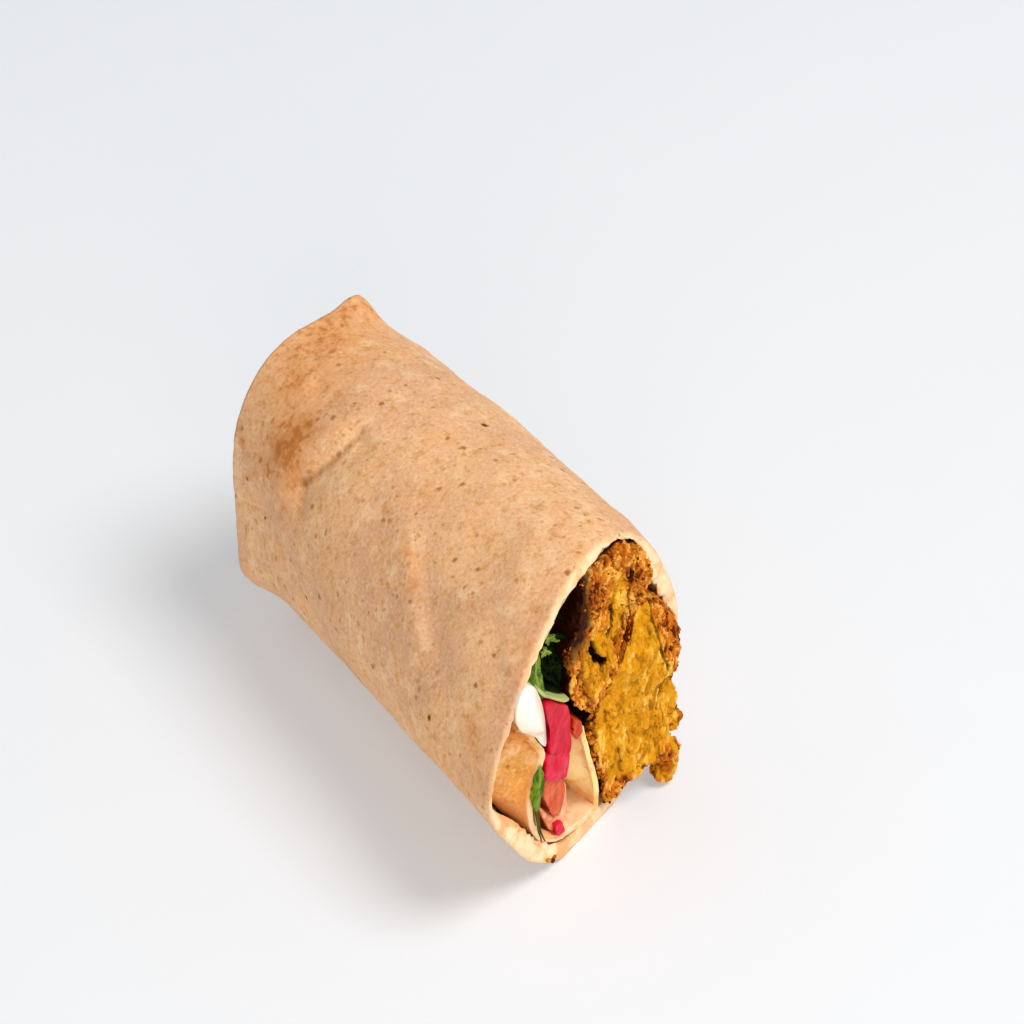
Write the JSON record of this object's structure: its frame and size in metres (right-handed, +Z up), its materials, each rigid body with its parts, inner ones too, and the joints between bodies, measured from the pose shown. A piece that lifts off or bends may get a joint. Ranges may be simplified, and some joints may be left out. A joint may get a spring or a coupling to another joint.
{
  "type": "falafel wrap",
  "caption": "Half of a rolled wheat tortilla, folded shut at one end and cut at a slant at the other, with falafel, parsley, sauce and vegetables showing at the cut.",
  "frame": {"origin": "bottom centre of the half's box, on the surface it lies on", "axes": "+X along the roll from the folded end to the slanted cut, +Y towards the side where the roll is longest at the folded end and shortest at the cut, +Z up"},
  "size_m": [0.1246, 0.0618, 0.0664],
  "materials": {
    "tortilla": "dry toasted wheat flatbread with brown flecks",
    "toasted_layer": "dry toasted flatbread",
    "cream_layer": "pale soft flatbread",
    "falafel_crumb": "coarse golden crumb",
    "falafel_crust": "rough fried crust",
    "garlic_sauce": "glossy thick white sauce",
    "pickled_turnip": "wet, slightly clear",
    "tomato": "wet flesh",
    "dark_parsley": "leaves in shade",
    "lettuce": "thin crisp leaf",
    "parsley": "fresh leaf"
  },
  "bodies": {
    "root": {"tortilla": "tortilla", "inner_layer": "toasted_layer", "inner_tongue": "cream_layer", "falafel_golden": "falafel_crumb", "falafel_crusty": "falafel_crust", "garlic_sauce": "garlic_sauce", "turnip_upper": "pickled_turnip", "turnip_lower": "pickled_turnip", "turnip_bit": "pickled_turnip", "tomato_wedge": "tomato", "tomato_bit": "tomato", "greens": "dark_parsley", "lettuce_edge": "lettuce", "parsley_upper": "parsley", "parsley_lower": "parsley"}
  },
  "joints": []
}
